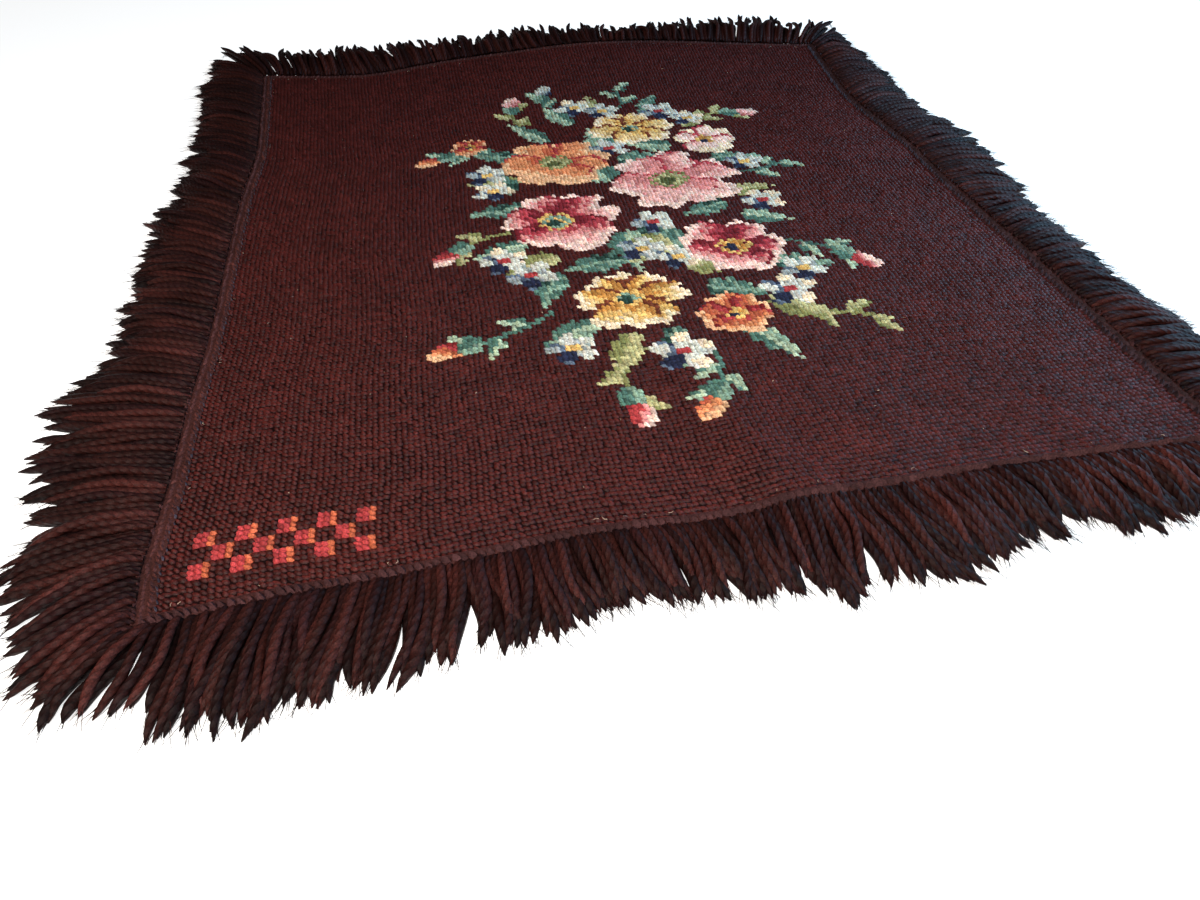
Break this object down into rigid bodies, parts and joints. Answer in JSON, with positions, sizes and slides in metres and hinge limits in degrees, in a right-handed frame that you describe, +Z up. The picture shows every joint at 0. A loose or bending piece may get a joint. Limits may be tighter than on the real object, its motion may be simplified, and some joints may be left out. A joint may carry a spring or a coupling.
{
  "type": "fringed needlepoint canvas panel",
  "caption": "Wool needlepoint canvas panel with an oval flower bouquet on a dark brown ground, a sewn fringe on all sides, lying flat.",
  "frame": {"origin": "middle of the outline, fringe included, on the surface that the panel lies on", "axes": "+Z up out of the worked face, +Y towards the panel's back edge, +X to the right"},
  "size_m": [0.7454, 0.8398, 0.0137],
  "materials": {
    "worked_wool": "matt wool cross stitch on canvas",
    "fringe_wool": "soft plied wool yarn"
  },
  "bodies": {
    "root": {"canvas_panel": "worked_wool", "fringe_front": "fringe_wool", "fringe_right": "fringe_wool", "fringe_back": "fringe_wool", "fringe_left": "fringe_wool"}
  },
  "joints": []
}
